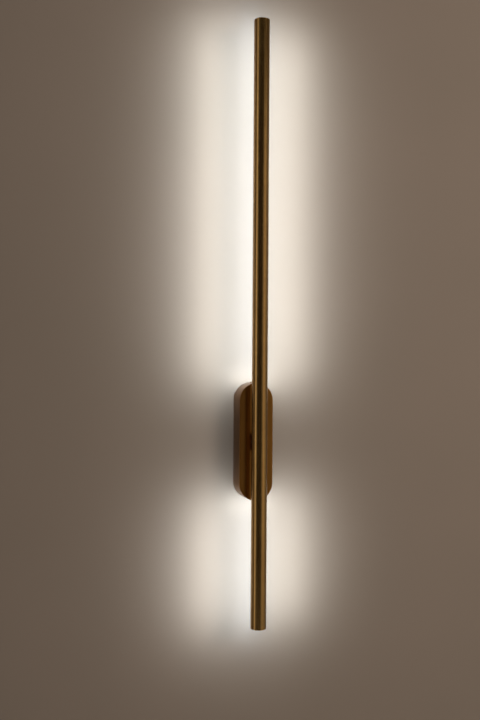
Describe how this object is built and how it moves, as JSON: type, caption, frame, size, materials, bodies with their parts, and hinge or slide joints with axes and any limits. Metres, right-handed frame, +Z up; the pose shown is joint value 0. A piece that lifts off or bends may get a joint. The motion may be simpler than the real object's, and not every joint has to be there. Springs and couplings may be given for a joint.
{
  "type": "tube wall light",
  "caption": "Slim round tube lit along its wall-facing side, turning on a hollow stem in front of a deep wall canopy with round ends.",
  "frame": {"origin": "on the wall face of the mounting plate, where the swivel axis of the tube meets the wall", "axes": "+Z up along the tube, +Y into the wall, +X to the right of someone facing the wall"},
  "size_m": [0.058, 0.065, 1],
  "materials": {
    "tube_brass_finish": "satin",
    "canopy_brass_finish": "satin",
    "brass_plated_screw": "satin",
    "bare_brass": "satin",
    "zinc_plated_steel": "satin",
    "spring_steel": "satin",
    "tinned_copper": "satin",
    "opal_diffuser": "satin",
    "white_polycarbonate": "matte",
    "white_polyamide": "satin",
    "black_rubber": "matte",
    "black_nylon": "satin",
    "fibre_washer": "matte",
    "foam_tape": "matte",
    "circuit_board": "satin",
    "ferrite": "matte",
    "capacitor_can": "satin",
    "led_board": "satin",
    "led_phosphor": "satin",
    "white_flex": "satin",
    "earth_sleeve": "satin",
    "brown_sleeve": "satin",
    "blue_sleeve": "satin"
  },
  "bodies": {
    "wall_canopy": {"mounting_plate": "zinc_plated_steel", "canopy_cover": "canopy_brass_finish", "canopy_screws": "brass_plated_screw", "cable_grommet": "black_rubber", "terminal_block": "white_polyamide", "terminal_inserts": "bare_brass", "terminal_screws": "zinc_plated_steel", "block_screws": "zinc_plated_steel", "earth_ring": "tinned_copper", "earth_screw": "bare_brass", "earth_lead": "earth_sleeve", "input_lead_live": "brown_sleeve", "input_lead_neutral": "blue_sleeve", "driver_case": "white_polycarbonate", "driver_lid": "white_polycarbonate", "driver_board": "circuit_board", "driver_transformer": "ferrite", "driver_capacitors": "capacitor_can", "driver_tape": "foam_tape", "output_flex": "white_flex", "swivel_bush": "black_nylon", "friction_washer": "fibre_washer", "stop_pin": "zinc_plated_steel"},
    "light_tube": {"tube_shell": "tube_brass_finish", "end_cap_top": "tube_brass_finish", "end_cap_bottom": "tube_brass_finish", "diffuser_upper": "opal_diffuser", "diffuser_lower": "opal_diffuser", "pivot_block": "tube_brass_finish", "pivot_screws": "zinc_plated_steel", "swivel_stem": "zinc_plated_steel", "spacer_collar": "bare_brass", "stop_washer": "zinc_plated_steel", "disc_spring": "spring_steel", "lock_nut_inner": "bare_brass", "lock_nut_outer": "bare_brass", "stem_end_bush": "black_nylon", "led_board_upper": "led_board", "led_board_lower": "led_board", "leds_upper": "led_phosphor", "leds_lower": "led_phosphor", "board_leads": "white_flex", "board_jumpers": "white_flex"}
  },
  "joints": [
    {"name": "tube_swivel", "type": "hinge", "parent": "wall_canopy", "child": "light_tube", "pos_m": [0, 0, 0], "axis": [0, 1, 0], "range_deg": [-165, 165]}
  ]
}
